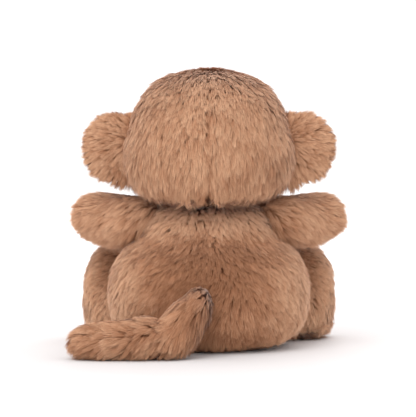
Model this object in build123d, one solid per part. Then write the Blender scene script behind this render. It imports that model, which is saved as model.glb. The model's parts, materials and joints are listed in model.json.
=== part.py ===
from build123d import *
import os
from math import acos, cos, degrees, hypot, radians, sin

# A seated plush monkey. Millimetres, +Z up, the face looks along -Y, the monkey's left is +X.
# The origin is the centre of the flat seat, on the surface that the toy sits on.
# Skins are modelled at the middle of their pile, so the tips of the fur stand a little proud.

# ---- driving dimensions ----
BODY_HALF_WIDTH = 80.5
BODY_HEIGHT = 121.0
BODY_DEPTH_RATIO = 0.86
SEAT_RADIUS = 46.0
HEAD_HALF_WIDTH = 68.0
HEAD_TOP = 231.0
HEAD_BOTTOM = 128.5
HEAD_DEPTH_RATIO = 0.9
SKIN = 5.0
PAD_SKIN = 4.0
GAP = 0.3
JOINT_GAP = 0.6

# ---- neck ----
NECK_PIVOT = Vector(0, 0, 106)
NECK_RADIUS = 29.0
NECK_STEM_RADIUS = 15.5
NECK_STEM_DEPTH = 14.0
NECK_CAP_BASE = 122.5
STITCH_RADIUS = 0.5

# ---- ears ----
EAR_CENTRE = Vector(79, -4, 168)
EAR_HALF_SIZE = (23.0, 8.0, 27.0)
EAR_HEAD_GAP = 4.2
EAR_SKIN = 2.6

# ---- arms, legs and tail: root pivot, end centre and the two end radii ----
ARM_ROOT = Vector(63, -2, 108)
ARM_END = Vector(92, -34, 106)
ARM_RADII = (18.5, 20.0)
ARM_RELIEF = 2.5
ARM_RELIEF_SHARE = 0.25
LEG_ROOT = Vector(62, -47, 26)
LEG_END = Vector(82, -71, 25)
LEG_RADII = (22.0, 21.0)
FOOT_HALF_HEIGHT = 36.0
FOOT_RADIUS = 20.5
FOOT_CENTRE_Z = 39.0
SOLE_HALF_SIZE = (14.0, 27.0)
TAIL_ROOT = Vector(4, 79, 43)
TAIL_BEND = Vector(32, 92, 26)
TAIL_JOINT = Vector(58, 97, 19)
TAIL_END = Vector(92, 94, 16)
TAIL_RADII = (14.0, 13.5, 12.5)
TAIL_TRAVEL = 35.0
TAIL_SOCKET_GAP = 1.4
WAD_RADIUS = 9.0

# ---- face ----
FACE_CENTRE_Z = 168.0
FACE_HALF_SIZE = (47.0, 36.0)
FACE_START_Y = -20.0
FACE_REACH = 150.0
MUZZLE_CENTRE = Vector(0, -55, 153)
MUZZLE_HALF_SIZE = (31.0, 24.0, 20.0)
EYE_X = 20.0
EYE_Z = 184.0
EYE_RADIUS = 5.5
EYE_STEM_RADIUS = 1.8
EYE_STEM_LENGTH = 14.0
EYE_SINK = 1.5
STEM_OVERLAP = 1.0
WASHER_RADIUS = 7.0
WASHER_THICKNESS = 1.4
WASHER_PLAY = 0.05
NOSE_HALF_SIZE = (7.5, 4.5)
NOSE_CENTRE_Z = 163.0
NOSE_RELIEF = 1.6
MOUTH_RADIUS = 13.0
MOUTH_HALF_ANGLE = 52.0
MOUTH_CENTRE_Z = 161.0
THREAD_RELIEF = 0.8
THREAD_WIDTH = 1.6

# ---- inside the seat ----
BAG_CENTRE_Z = 20.0
BAG_HALF_SIZE = (42.0, 35.0, 13.0)
BAG_SKIN = 1.0
TIE_HOLE_RADIUS = 2.0

# ---- closing stitches and label ----
CLOSING_STITCHES = 9
CLOSING_PITCH = 4.5
CLOSING_BASE_Z = 62.0
STITCH_LENGTH = 4.0
LABEL_ROOT = Vector(26, 60, 1.2)
LABEL_END = Vector(66, 86, 1.2)
LABEL_WIDTH = 14.0
LABEL_THICKNESS = 0.8

# ---- cutting tools ----
BIG = 600.0
SEAM_TURN = 30.0
UPWARDS = (Align.CENTER, Align.CENTER, Align.MIN)

# Outlines as (share of half width, share of height), from the pole down to the underside.
BODY_OUTLINE = [
    (0.24, 1.0),
    (0.36, 0.98),
    (0.48, 0.93),
    (0.58, 0.85),
    (0.72, 0.755),
    (0.88, 0.64),
    (0.975, 0.51),
    (1.0, 0.375),
    (0.97, 0.25),
    (0.89, 0.14),
    (0.76, 0.045),
]
HEAD_OUTLINE = [
    (0.0, 1.0),
    (0.35, 0.97),
    (0.65, 0.86),
    (0.85, 0.68),
    (0.965, 0.48),
    (1.0, 0.33),
    (0.955, 0.185),
    (0.81, 0.07),
    (0.58, 0.012),
    (0.32, 0.0),
]


# ---- shared shapes ----
def sized(outline, half_width, bottom, top):
    """An outline's shares turned into millimetres."""
    return [(half_width * r, bottom + (top - bottom) * z) for r, z in outline]


def inset(outline, depth):
    """The outline moved inwards by depth, square to itself at each point."""
    last = len(outline) - 1
    moved = []
    for i, (r, z) in enumerate(outline):
        r0, z0 = outline[max(i - 1, 0)]
        r1, z1 = outline[min(i + 1, last)]
        run = hypot(r1 - r0, z1 - z0)
        on_axis = r == 0
        inner_r = 0.0 if on_axis else r + depth * (z1 - z0) / run
        inner_z = z - depth if on_axis else z - depth * (r1 - r0) / run
        moved.append((inner_r, inner_z))
    return moved


def side_curve(outline):
    """The smooth curve through an outline."""
    return Spline(*[(r, 0, z) for r, z in outline])


def flattened(shape, depth_ratio):
    return scale(shape, by=(1, depth_ratio, 1))


def turned_solid(outline):
    """A solid turned about Z from an outline, closed level at its top and underside."""
    top_r, top_z = outline[0]
    foot_r, foot_z = outline[-1]
    edges = side_curve(outline) + Line((foot_r, 0, foot_z), (0, 0, foot_z))
    edges += Line((0, 0, foot_z), (0, 0, top_z))
    if top_r > 0:
        edges += Line((0, 0, top_z), (top_r, 0, top_z))
    return revolve(make_face(edges), Axis.Z, 360)


def turned_shell(outline, thickness):
    """A skin of even thickness turned about Z, open at the underside."""
    inner = inset(outline, thickness)
    edges = side_curve(outline) + side_curve(inner)
    for end in (0, -1):
        outer_r, outer_z = outline[end]
        inner_r, inner_z = inner[end]
        edges += Line((outer_r, 0, outer_z), (inner_r, 0, inner_z))
    return revolve(make_face(edges), Axis.Z, 360)


def ellipsoid(centre, half_size):
    return Pos(*centre) * scale(Sphere(1), by=half_size)


def ball(centre, radius):
    return Pos(*centre) * Sphere(radius)


def limb_plane(root, end):
    """Local frame of a limb: Z runs from root to end, X points up."""
    return Plane(origin=root, x_dir=(0, 0, 1), z_dir=end - root)


def capsule(root, end, root_radius, end_radius):
    """A rounded limb: two balls joined by the cone that touches both."""
    length = (end - root).length
    tilt = acos((root_radius - end_radius) / length)
    low = (root_radius * sin(tilt), 0, root_radius * cos(tilt))
    high = (end_radius * sin(tilt), 0, length + end_radius * cos(tilt))
    turn = degrees(tilt)
    root_arc = ThreePointArc(
        (0, 0, -root_radius),
        (root_radius * cos(radians(-turn / 2)), 0, root_radius * sin(radians(-turn / 2))),
        low,
    )
    half = tilt / 2
    end_arc = ThreePointArc(
        high,
        (end_radius * sin(half), 0, length + end_radius * cos(half)),
        (0, 0, length + end_radius),
    )
    outline = root_arc + Line(low, high) + end_arc + Line((0, 0, length + end_radius), (0, 0, -root_radius))
    solid = revolve(make_face(outline), Axis.Z, 360)
    return limb_plane(root, end).location * Rot(0, 0, SEAM_TURN) * solid


def half_space(plane):
    """A large box on the positive side of a plane."""
    return plane.location * Pos(0, 0, BIG / 2) * Box(BIG, BIG, BIG)


def one_solid(shape):
    """The largest solid of a shape, so that no sliver is left beside it."""
    return max(shape.solids(), key=lambda solid: solid.volume)


PARTS = {}


def keep(name, shape):
    PARTS[name] = one_solid(shape)


def keep_pair(name, shape):
    """Keep a left-hand piece and its mirror image; the name has a place for the side."""
    left_piece = one_solid(shape)
    PARTS[name.format("left")] = left_piece
    PARTS[name.format("right")] = mirror(left_piece, about=Plane.YZ)


SIDES = {"left": 1, "right": -1}


def on_side(vector, sign):
    return Vector(sign * vector.X, vector.Y, vector.Z)


# ---- the sockets that the moving pieces turn in ----
def torso_sockets():
    """Everything that the torso makes room for: the roots of the arms, legs and tail."""
    room = ball(TAIL_ROOT, TAIL_RADII[0] + TAIL_SOCKET_GAP)
    relief_centre = ARM_ROOT + (ARM_END - ARM_ROOT) * ARM_RELIEF_SHARE
    for sign in SIDES.values():
        room += ball(on_side(ARM_ROOT, sign), ARM_RADII[0] + JOINT_GAP)
        room += ball(on_side(relief_centre, sign), ARM_RADII[0] + ARM_RELIEF)
        room += ball(on_side(LEG_ROOT, sign), LEG_RADII[0] + JOINT_GAP)
    return room


# ---- torso ----
def make_torso():
    outline = sized(BODY_OUTLINE, BODY_HALF_WIDTH, 0, BODY_HEIGHT)
    outline.append((SEAT_RADIUS, 0))
    room = torso_sockets()
    wall = flattened(turned_shell(outline, SKIN), BODY_DEPTH_RATIO) - room
    base = inset(outline, SKIN)[-1][0] - GAP
    base_disc = extrude(Ellipse(base, base * BODY_DEPTH_RATIO), SKIN)
    behind = half_space(Plane(origin=(0, 0, 0), z_dir=(0, 1, 0)))
    left = half_space(Plane(origin=(0, 0, 0), z_dir=(1, 0, 0)))
    back = wall & behind
    keep("seat_base_panel", base_disc)
    keep("torso_belly_panel", wall - behind)
    keep("torso_back_panel_left", back & left)
    keep("torso_back_panel_right", back - left)
    bag = ellipsoid((0, 0, BAG_CENTRE_Z), BAG_HALF_SIZE)
    fill_size = tuple(s - BAG_SKIN for s in BAG_HALF_SIZE)
    fill = ellipsoid((0, 0, BAG_CENTRE_Z), fill_size)
    tie_hole = Pos(0, 0, BAG_CENTRE_Z + BAG_HALF_SIZE[2]) * Cylinder(TIE_HOLE_RADIUS, 4 * BAG_SKIN)
    keep("pellet_bag", bag - fill - tie_hole)
    keep("pellet_fill", fill)
    grown = tuple(s + GAP for s in BAG_HALF_SIZE)
    stuffing = flattened(turned_solid(inset(outline, SKIN + GAP)), BODY_DEPTH_RATIO)
    below_base = half_space(Plane(origin=(0, 0, SKIN + GAP), z_dir=(0, 0, -1)))
    stem_room = ball(NECK_PIVOT, NECK_STEM_DEPTH + JOINT_GAP)
    stem_floor = Pos(0, 0, NECK_PIVOT.Z - NECK_STEM_DEPTH)
    stem_room += stem_floor * Cylinder(NECK_STEM_RADIUS + GAP, BIG, align=UPWARDS)
    stuffing = stuffing - room - below_base - stem_room
    keep("torso_stuffing", stuffing - ellipsoid((0, 0, BAG_CENTRE_Z), grown))
    return flattened(turned_solid(outline), BODY_DEPTH_RATIO)


def make_closing_stitches(torso):
    """Short hand stitches that close the filling gap in the centre back seam."""
    stitches = []
    for i in range(CLOSING_STITCHES):
        z = CLOSING_BASE_Z + i * CLOSING_PITCH
        probe = Pos(0, 0, z) * Rot(90, 0, 0) * Cylinder(STITCH_RADIUS / 2, BIG)
        depth = (torso & probe).bounding_box().max.Y
        spot = Pos(0, depth + STITCH_RADIUS + GAP / 2, z)
        stitches.append(spot * Rot(0, 90, 0) * Cylinder(STITCH_RADIUS, STITCH_LENGTH))
    PARTS["back_closing_stitches"] = Compound(children=stitches)


def make_care_label():
    """A blank satin label that lies on the ground behind the seat, under the tail."""
    run = LABEL_END - LABEL_ROOT
    frame = Plane(origin=(LABEL_ROOT + LABEL_END) / 2, x_dir=run, z_dir=(0, 0, 1))
    keep("care_label", frame.location * Box(run.length, LABEL_WIDTH, LABEL_THICKNESS))


# ---- neck ----
def make_neck():
    """The stuffed neck: a stem in the torso's top and a rounded cap in the head's underside."""
    above = half_space(Plane(origin=(0, 0, NECK_CAP_BASE), z_dir=(0, 0, 1)))
    stem_height = NECK_CAP_BASE + 1 - (NECK_PIVOT.Z - NECK_STEM_DEPTH)
    stem_centre = NECK_PIVOT.Z - NECK_STEM_DEPTH + stem_height / 2
    plug = ball(NECK_PIVOT, NECK_RADIUS) & above
    plug += Pos(0, 0, stem_centre) * Cylinder(NECK_STEM_RADIUS, stem_height)
    keep("neck_stuffing", plug)
    cap_height = NECK_CAP_BASE - NECK_PIVOT.Z
    ring_radius = (NECK_RADIUS**2 - cap_height**2) ** 0.5 + STITCH_RADIUS + GAP
    ring = Pos(0, 0, NECK_CAP_BASE + STITCH_RADIUS) * Torus(ring_radius, STITCH_RADIUS)
    keep("neck_stitches", ring)


# ---- head ----
def head_outline(depth=0.0):
    outline = sized(HEAD_OUTLINE, HEAD_HALF_WIDTH, HEAD_BOTTOM, HEAD_TOP)
    if depth == 0:
        return outline
    return inset(outline, depth)


def face_prism():
    """The elliptical column, running forwards, that the face panel is cut along."""
    start = Plane(origin=(0, FACE_START_Y, FACE_CENTRE_Z), x_dir=(1, 0, 0), z_dir=(0, -1, 0))
    return extrude(start * Ellipse(*FACE_HALF_SIZE), FACE_REACH)


def eye_at(sign, face_depth):
    """A dome with a stem that passes back through the face."""
    front = -face_depth(sign * EYE_X, EYE_Z)
    centre = Vector(sign * EYE_X, front + EYE_SINK, EYE_Z)
    dome = ball(centre, EYE_RADIUS)
    flat_back = half_space(Plane(origin=centre, z_dir=(0, -1, 0)))
    stem = Pos(centre.X, centre.Y + EYE_STEM_LENGTH / 2 - STEM_OVERLAP, EYE_Z) * Rot(90, 0, 0)
    stem_solid = stem * Cylinder(EYE_STEM_RADIUS, EYE_STEM_LENGTH + 2 * STEM_OVERLAP)
    return (dome & flat_back) + stem_solid, centre


def make_head():
    outer = flattened(turned_solid(head_outline()), HEAD_DEPTH_RATIO)
    shell = turned_shell(head_outline(), SKIN)
    stuffing = turned_solid(head_outline(SKIN + GAP))
    left = half_space(Plane(origin=(0, 0, 0), z_dir=(1, 0, 0)))

    def face_depth(x, z):
        probe = Pos(x, 0, z) * Rot(90, 0, 0) * Cylinder(EYE_STEM_RADIUS, BIG)
        return -(outer & probe).bounding_box().min.Y

    face_column = face_prism()
    face = flattened(one_solid(shell & face_column), HEAD_DEPTH_RATIO)
    back = shell - face_column
    keep("head_back_panel_left", flattened(one_solid(back & left), HEAD_DEPTH_RATIO))
    keep("head_back_panel_right", flattened(one_solid(back - left), HEAD_DEPTH_RATIO))

    for side, sign in SIDES.items():
        eye, centre = eye_at(sign, face_depth)
        keep("eye_" + side, eye)
        face -= eye
        washer_y = centre.Y + EYE_STEM_LENGTH - 2 * WASHER_THICKNESS
        spot = Pos(centre.X, washer_y, EYE_Z) * Rot(90, 0, 0)
        stem_hole = Cylinder(EYE_STEM_RADIUS + WASHER_PLAY, 2 * WASHER_THICKNESS)
        washer = spot * (Cylinder(WASHER_RADIUS, WASHER_THICKNESS) - stem_hole)
        keep("eye_washer_" + side, washer)
        room_place = Pos(centre.X, centre.Y / HEAD_DEPTH_RATIO, EYE_Z) * Rot(90, 0, 0)
        room_length = 2 * (EYE_STEM_LENGTH + 2 * WASHER_THICKNESS)
        stuffing -= room_place * Cylinder(WASHER_RADIUS + GAP, room_length)
    keep("face_panel", face)
    neck_room = ball(NECK_PIVOT, NECK_RADIUS + JOINT_GAP)
    keep("head_stuffing", flattened(stuffing, HEAD_DEPTH_RATIO) - neck_room)

    front_half = half_space(Plane(origin=(0, FACE_START_Y, 0), z_dir=(0, -1, 0)))
    make_muzzle(flattened(turned_solid(head_outline()) & front_half, HEAD_DEPTH_RATIO))


def make_muzzle(head):
    outer = ellipsoid(MUZZLE_CENTRE, MUZZLE_HALF_SIZE)
    inner = ellipsoid(MUZZLE_CENTRE, tuple(s - PAD_SKIN for s in MUZZLE_HALF_SIZE))
    fill = ellipsoid(MUZZLE_CENTRE, tuple(s - PAD_SKIN - GAP for s in MUZZLE_HALF_SIZE))
    keep("muzzle_panel", outer - inner - head)
    keep("muzzle_stuffing", fill - head)

    def raised(relief):
        grown = ellipsoid(MUZZLE_CENTRE, tuple(s + relief for s in MUZZLE_HALF_SIZE))
        return grown - outer

    front = Plane(origin=(0, MUZZLE_CENTRE.Y, NOSE_CENTRE_Z), x_dir=(1, 0, 0), z_dir=(0, -1, 0))
    keep("nose_patch", raised(NOSE_RELIEF) & extrude(front * Ellipse(*NOSE_HALF_SIZE), FACE_REACH))
    front = Plane(origin=(0, MUZZLE_CENTRE.Y, MOUTH_CENTRE_Z), x_dir=(1, 0, 0), z_dir=(0, -1, 0))
    ring = Circle(MOUTH_RADIUS + THREAD_WIDTH / 2) - Circle(MOUTH_RADIUS - THREAD_WIDTH / 2)
    reach = 2 * MOUTH_RADIUS
    half_span = reach * sin(radians(MOUTH_HALF_ANGLE))
    fall = reach * cos(radians(MOUTH_HALF_ANGLE))
    wedge = make_face(Polyline((0, 0), (-half_span, -fall), (half_span, -fall), (0, 0)))
    smile = front.location * (ring & wedge)
    keep("mouth_thread", raised(THREAD_RELIEF) & extrude(smile, FACE_REACH, dir=(0, -1, 0)))


# ---- ears ----
def make_ears():
    centre = EAR_CENTRE
    clear_of_head = flattened(turned_solid(head_outline(-EAR_HEAD_GAP)), HEAD_DEPTH_RATIO)
    outer = ellipsoid(centre, EAR_HALF_SIZE)
    inner = ellipsoid(centre, tuple(s - EAR_SKIN for s in EAR_HALF_SIZE))
    batting = ellipsoid(centre, tuple(s - EAR_SKIN - GAP for s in EAR_HALF_SIZE))
    shell = outer - inner - clear_of_head
    behind = half_space(Plane(origin=centre, z_dir=(0, 1, 0)))
    keep_pair("ear_{}_back_panel", shell & behind)
    keep_pair("ear_{}_lining", shell - behind)
    keep_pair("ear_{}_batting", batting - clear_of_head)


# ---- arms ----
def make_arms():
    root = ARM_ROOT
    end = ARM_END
    a, b = ARM_RADII
    outer = capsule(root, end, a, b)
    inner = capsule(root, end, a - SKIN, b - SKIN)
    fill = capsule(root, end, a - SKIN - GAP, b - SKIN - GAP)
    frame = limb_plane(root, end)
    above = half_space(Plane(origin=root, z_dir=frame.x_dir))
    shell = outer - inner
    keep_pair("arm_{}_upper_panel", shell & above)
    keep_pair("arm_{}_palm_panel", shell - above)
    keep_pair("arm_{}_stuffing", fill - ball(root, WAD_RADIUS + JOINT_GAP))
    keep_pair("shoulder_{}_wad", ball(root, WAD_RADIUS))


# ---- legs ----
def leg_solid(foot_centre, trim):
    """A short thigh with an upright oval foot, drawn in all round by trim."""
    a, b = LEG_RADII
    foot_size = (FOOT_RADIUS - trim, FOOT_RADIUS - trim, FOOT_HALF_HEIGHT - trim)
    thigh = capsule(LEG_ROOT, LEG_END, a - trim, b - trim)
    return thigh + ellipsoid(foot_centre, foot_size)


def make_legs():
    foot_centre = Vector(LEG_END.X, LEG_END.Y, FOOT_CENTRE_Z)
    outer = leg_solid(foot_centre, 0)
    inner = leg_solid(foot_centre, SKIN)
    fill = leg_solid(foot_centre, SKIN + GAP)
    ahead = Vector(0, -1, 0)
    sole_plane = Plane(origin=foot_centre + ahead * (FOOT_RADIUS / 3), x_dir=(1, 0, 0), z_dir=ahead)
    sole_column = extrude(sole_plane * Ellipse(*SOLE_HALF_SIZE), 2 * FOOT_RADIUS)
    shell = outer - inner
    upper = shell - sole_column
    across = (LEG_END - LEG_ROOT).cross(Vector(0, 0, 1)).normalized()
    outside = across if across.X > 0 else across * -1
    outer_half = half_space(Plane(origin=LEG_ROOT, z_dir=outside))
    keep_pair("leg_{}_outer_panel", upper & outer_half)
    keep_pair("leg_{}_inner_panel", upper - outer_half)
    keep_pair("sole_pad_{}", shell & sole_column)
    keep_pair("leg_{}_stuffing", fill - ball(LEG_ROOT, WAD_RADIUS + JOINT_GAP))
    keep_pair("hip_{}_wad", ball(LEG_ROOT, WAD_RADIUS))


# ---- tail ----
def make_tail():
    a, b, c = TAIL_RADII

    def root_length(trim):
        first = capsule(TAIL_ROOT, TAIL_BEND, a - trim, b - trim)
        return first + capsule(TAIL_BEND, TAIL_JOINT, b - trim, b - trim)

    along = (TAIL_JOINT - TAIL_BEND).normalized()
    step_back = b * sin(radians(TAIL_TRAVEL)) + JOINT_GAP
    beyond = half_space(Plane(origin=TAIL_JOINT - along * step_back, z_dir=along))
    joint_ball = ball(TAIL_JOINT, b + JOINT_GAP)
    outer = root_length(0) - beyond - joint_ball
    keep("tail_root_skin", outer - root_length(PAD_SKIN))
    fill = root_length(PAD_SKIN + GAP) - beyond - joint_ball
    keep("tail_root_stuffing", fill - ball(TAIL_ROOT, WAD_RADIUS + JOINT_GAP))
    keep("tail_root_wad", ball(TAIL_ROOT, WAD_RADIUS))

    tip = capsule(TAIL_JOINT, TAIL_END, b, c)
    tip_inner = capsule(TAIL_JOINT, TAIL_END, b - PAD_SKIN, c - PAD_SKIN)
    tip_fill = capsule(TAIL_JOINT, TAIL_END, b - PAD_SKIN - GAP, c - PAD_SKIN - GAP)
    opening = limb_plane(TAIL_JOINT, TAIL_END).location * Pos(0, 0, -b) * Cylinder(b / 2, b)
    keep("tail_tip_skin", tip - tip_inner - opening)
    keep("tail_tip_stuffing", tip_fill)


def main():
    torso = make_torso()
    make_closing_stitches(torso)
    make_care_label()
    make_neck()
    make_head()
    make_ears()
    make_arms()
    make_legs()
    make_tail()
    os.makedirs("parts", exist_ok=True)
    for name, shape in PARTS.items():
        export_step(shape, f"parts/{name}.step")
    print(len(PARTS), "parts")


main()
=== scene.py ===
import json
import math
import bpy
import numpy as np
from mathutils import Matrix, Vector, noise
from mathutils.bvhtree import BVHTree
from mathutils.kdtree import KDTree


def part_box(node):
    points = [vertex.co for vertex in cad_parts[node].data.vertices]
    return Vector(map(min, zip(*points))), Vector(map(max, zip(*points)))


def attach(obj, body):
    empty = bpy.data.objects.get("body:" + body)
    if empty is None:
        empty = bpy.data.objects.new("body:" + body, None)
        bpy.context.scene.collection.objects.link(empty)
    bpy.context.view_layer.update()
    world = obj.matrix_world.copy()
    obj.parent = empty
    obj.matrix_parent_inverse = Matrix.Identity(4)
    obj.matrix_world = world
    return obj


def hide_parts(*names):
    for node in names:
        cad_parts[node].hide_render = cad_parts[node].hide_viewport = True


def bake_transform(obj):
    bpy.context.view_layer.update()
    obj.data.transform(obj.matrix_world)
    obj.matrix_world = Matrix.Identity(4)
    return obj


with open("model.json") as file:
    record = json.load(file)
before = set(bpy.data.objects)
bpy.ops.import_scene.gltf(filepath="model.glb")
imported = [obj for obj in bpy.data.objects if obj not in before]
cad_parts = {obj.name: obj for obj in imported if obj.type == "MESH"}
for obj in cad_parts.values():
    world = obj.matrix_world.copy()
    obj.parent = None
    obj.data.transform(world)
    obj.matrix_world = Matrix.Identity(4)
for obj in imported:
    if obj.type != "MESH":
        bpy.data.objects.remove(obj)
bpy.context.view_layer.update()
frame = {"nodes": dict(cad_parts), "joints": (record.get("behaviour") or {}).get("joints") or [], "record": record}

MM = 0.001
NODES = frame["nodes"]
JOINTS = {joint["name"]: joint for joint in frame["joints"]}
SIDES = {"left": 1, "right": -1}


# ---------------------------------------------------------------- places taken from the frame
def node_box(*names):
    """Low and high corners of several CAD nodes together."""
    boxes = [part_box(name) for name in names]
    low = np.min([np.array(b[0]) for b in boxes], axis=0)
    high = np.max([np.array(b[1]) for b in boxes], axis=0)
    return low, high


def joint_place(name):
    return np.array(JOINTS[name]["pos_m"])


HEAD_PANELS = ("head_back_panel_left", "head_back_panel_right", "face_panel")
TORSO_PANELS = ("torso_back_panel_left", "torso_back_panel_right", "torso_belly_panel", "seat_base_panel")
head_low, head_high = node_box(*HEAD_PANELS)
head_centre = (head_low + head_high) / 2
torso_high = node_box(*TORSO_PANELS)[1]
face_low, face_high = node_box("face_panel")
muzzle_low, muzzle_high = node_box("muzzle_panel")
nose_low, nose_high = node_box("nose_patch")
mouth_low, mouth_high = node_box("mouth_thread")
tail_root = joint_place("tail_swing")
tail_joint = joint_place("tail_bend")
tip_low, tip_high = node_box("tail_tip_skin")


# ---------------------------------------------------------------- numpy helpers
def unit(vectors):
    return vectors / np.maximum(np.linalg.norm(vectors, axis=-1, keepdims=True), 1e-12)


def tangent(vectors, normals):
    """The part of each vector that lies in the surface."""
    flat = vectors - (vectors * normals).sum(1, keepdims=True) * normals
    return unit(flat)


def smooth_step(value, low, high):
    t = np.clip((value - low) / (high - low), 0, 1)
    return t * t * (3 - 2 * t)


def near(places, spot, radius):
    """1 at a spot, fading with distance over about a radius."""
    return np.exp(-((np.linalg.norm(places - spot, axis=1) / radius) ** 2))


# ---------------------------------------------------------------- materials
def colour_ramp(tree, stops, source):
    ramp = tree.nodes.new("ShaderNodeValToRGB")
    elements = ramp.color_ramp.elements
    while len(elements) < len(stops):
        elements.new(0.5)
    for element, (place, colour) in zip(elements, stops):
        element.position = place
        element.color = (*colour, 1)
    tree.links.new(source, ramp.inputs["Fac"])
    return ramp.outputs["Color"]


def new_material(name, roughness, sheen=0.0, specular=0.3, coat=0.0):
    material = bpy.data.materials.new(name)
    material.use_nodes = True
    shader = material.node_tree.nodes["Principled BSDF"]
    shader.inputs["Roughness"].default_value = roughness
    shader.inputs["Sheen Weight"].default_value = sheen
    shader.inputs["Sheen Roughness"].default_value = 0.5
    shader.inputs["Specular IOR Level"].default_value = specular
    shader.inputs["Coat Weight"].default_value = coat
    return material, material.node_tree, shader


def mixed(tree, blend, factor, a, b):
    node = tree.nodes.new("ShaderNodeMix")
    node.data_type = "RGBA"
    node.blend_type = blend
    node.inputs["Factor"].default_value = factor
    for socket, value in ((node.inputs[6], a), (node.inputs[7], b)):
        if isinstance(value, tuple):
            socket.default_value = (*value, 1)
        else:
            tree.links.new(value, socket)
    return node.outputs[2]


def pile_material(name, along, across, roughness=0.75, sheen=0.25):
    """Pile: V of the strand map runs from root to tip, U is the shade of the strand."""
    material, tree, shader = new_material(name, roughness, sheen, specular=0.15)
    uv = tree.nodes.new("ShaderNodeUVMap")
    uv.uv_map = "OFBake"
    split = tree.nodes.new("ShaderNodeSeparateXYZ")
    tree.links.new(uv.outputs["UV"], split.inputs["Vector"])
    length_colour = colour_ramp(tree, along, split.outputs["Y"])
    shade_colour = colour_ramp(tree, across, split.outputs["X"])
    colour = mixed(tree, "MULTIPLY", 1.0, length_colour, shade_colour)
    tree.links.new(colour, shader.inputs["Base Color"])
    return material


def speckled_material(name, dark, light, scale, roughness, bump, kind="noise", **shader_values):
    """A material whose colour, roughness and relief follow one procedural texture."""
    material, tree, shader = new_material(name, roughness, **shader_values)
    place = tree.nodes.new("ShaderNodeTexCoord")
    texture = tree.nodes.new("ShaderNodeTexNoise" if kind == "noise" else "ShaderNodeTexVoronoi")
    texture.inputs["Scale"].default_value = scale
    tree.links.new(place.outputs["Object"], texture.inputs["Vector"])
    pattern = texture.outputs["Fac" if kind == "noise" else "Distance"]
    colour = colour_ramp(tree, [(0.25, dark), (0.75, light)], pattern)
    tree.links.new(colour, shader.inputs["Base Color"])
    relief = tree.nodes.new("ShaderNodeBump")
    relief.inputs["Strength"].default_value = bump
    relief.inputs["Distance"].default_value = 0.4 * MM
    tree.links.new(pattern, relief.inputs["Height"])
    tree.links.new(relief.outputs["Normal"], shader.inputs["Normal"])
    return material


def woven_material(name, dark, light, scale, roughness, bump, **shader_values):
    """Thread or satin: fine parallel ribs with a little colour between them."""
    material, tree, shader = new_material(name, roughness, **shader_values)
    place = tree.nodes.new("ShaderNodeTexCoord")
    wave = tree.nodes.new("ShaderNodeTexWave")
    wave.bands_direction = "DIAGONAL"
    wave.inputs["Scale"].default_value = scale
    wave.inputs["Distortion"].default_value = 1.5
    tree.links.new(place.outputs["Object"], wave.inputs["Vector"])
    colour = colour_ramp(tree, [(0.1, dark), (0.8, light)], wave.outputs["Fac"])
    tree.links.new(colour, shader.inputs["Base Color"])
    relief = tree.nodes.new("ShaderNodeBump")
    relief.inputs["Strength"].default_value = bump
    relief.inputs["Distance"].default_value = 0.2 * MM
    tree.links.new(wave.outputs["Fac"], relief.inputs["Height"])
    tree.links.new(relief.outputs["Normal"], shader.inputs["Normal"])
    return material


LONG_PILE = pile_material(
    "long_pile",
    along=[(0.0, (0.4, 0.19, 0.1)), (0.45, (0.57, 0.3, 0.172)), (0.8, (0.73, 0.435, 0.268)),
           (1.0, (0.82, 0.53, 0.35))],
    across=[(0.0, (0.46, 0.34, 0.27)), (0.35, (0.7, 0.57, 0.49)), (0.7, (0.94, 0.92, 0.9)),
            (1.0, (1.0, 1.0, 1.0))],
)
SHORT_PILE = pile_material(
    "short_pile",
    along=[(0.0, (0.6, 0.43, 0.3)), (0.5, (0.83, 0.66, 0.5)), (1.0, (0.93, 0.8, 0.66))],
    across=[(0.0, (0.86, 0.84, 0.82)), (1.0, (1.0, 1.0, 1.0))],
)
STUFFING = speckled_material("fibre_stuffing", (0.78, 0.78, 0.76), (0.95, 0.95, 0.94), 90, 0.9, 0.8)
EYE_PLASTIC = speckled_material("eye_plastic", (0.006, 0.004, 0.003), (0.012, 0.008, 0.006), 400, 0.08, 0.02,
                                specular=0.5, coat=0.6)
WASHER_PLASTIC = speckled_material("washer_plastic", (0.8, 0.8, 0.77), (0.88, 0.88, 0.86), 300, 0.4, 0.15)
PELLETS = speckled_material("plastic_pellets", (0.55, 0.56, 0.57), (0.92, 0.93, 0.94), 330, 0.35, 1.0,
                            "voronoi")
BAG_CLOTH = woven_material("bag_cloth", (0.7, 0.68, 0.63), (0.88, 0.87, 0.83), 900, 0.9, 0.5)
DARK_THREAD = woven_material("dark_thread", (0.035, 0.016, 0.009), (0.1, 0.05, 0.03), 1500, 0.5, 0.5,
                             sheen=0.2)
SEWING_THREAD = woven_material("sewing_thread", (0.24, 0.12, 0.07), (0.45, 0.28, 0.18), 1500, 0.8, 0.5)
LABEL_SATIN = woven_material("label_satin", (0.5, 0.5, 0.52), (0.72, 0.72, 0.73), 1200, 0.45, 0.3, sheen=0.3)

CAD_FINISHES = {
    "stuffing": STUFFING,
    "eye_plastic": EYE_PLASTIC,
    "washer_plastic": WASHER_PLASTIC,
    "plastic_pellets": PELLETS,
    "bag_cloth": BAG_CLOTH,
    "sewing_thread": SEWING_THREAD,
}


def finish_cad_nodes():
    """Every CAD node that stays visible or sealed inside gets a procedural material."""
    for row in frame["record"]["subparts"]:
        finish = CAD_FINISHES.get(row["material_slot"])
        if finish:
            node = NODES[row["node"]]
            node.data.materials.clear()
            node.data.materials.append(finish)


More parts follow.
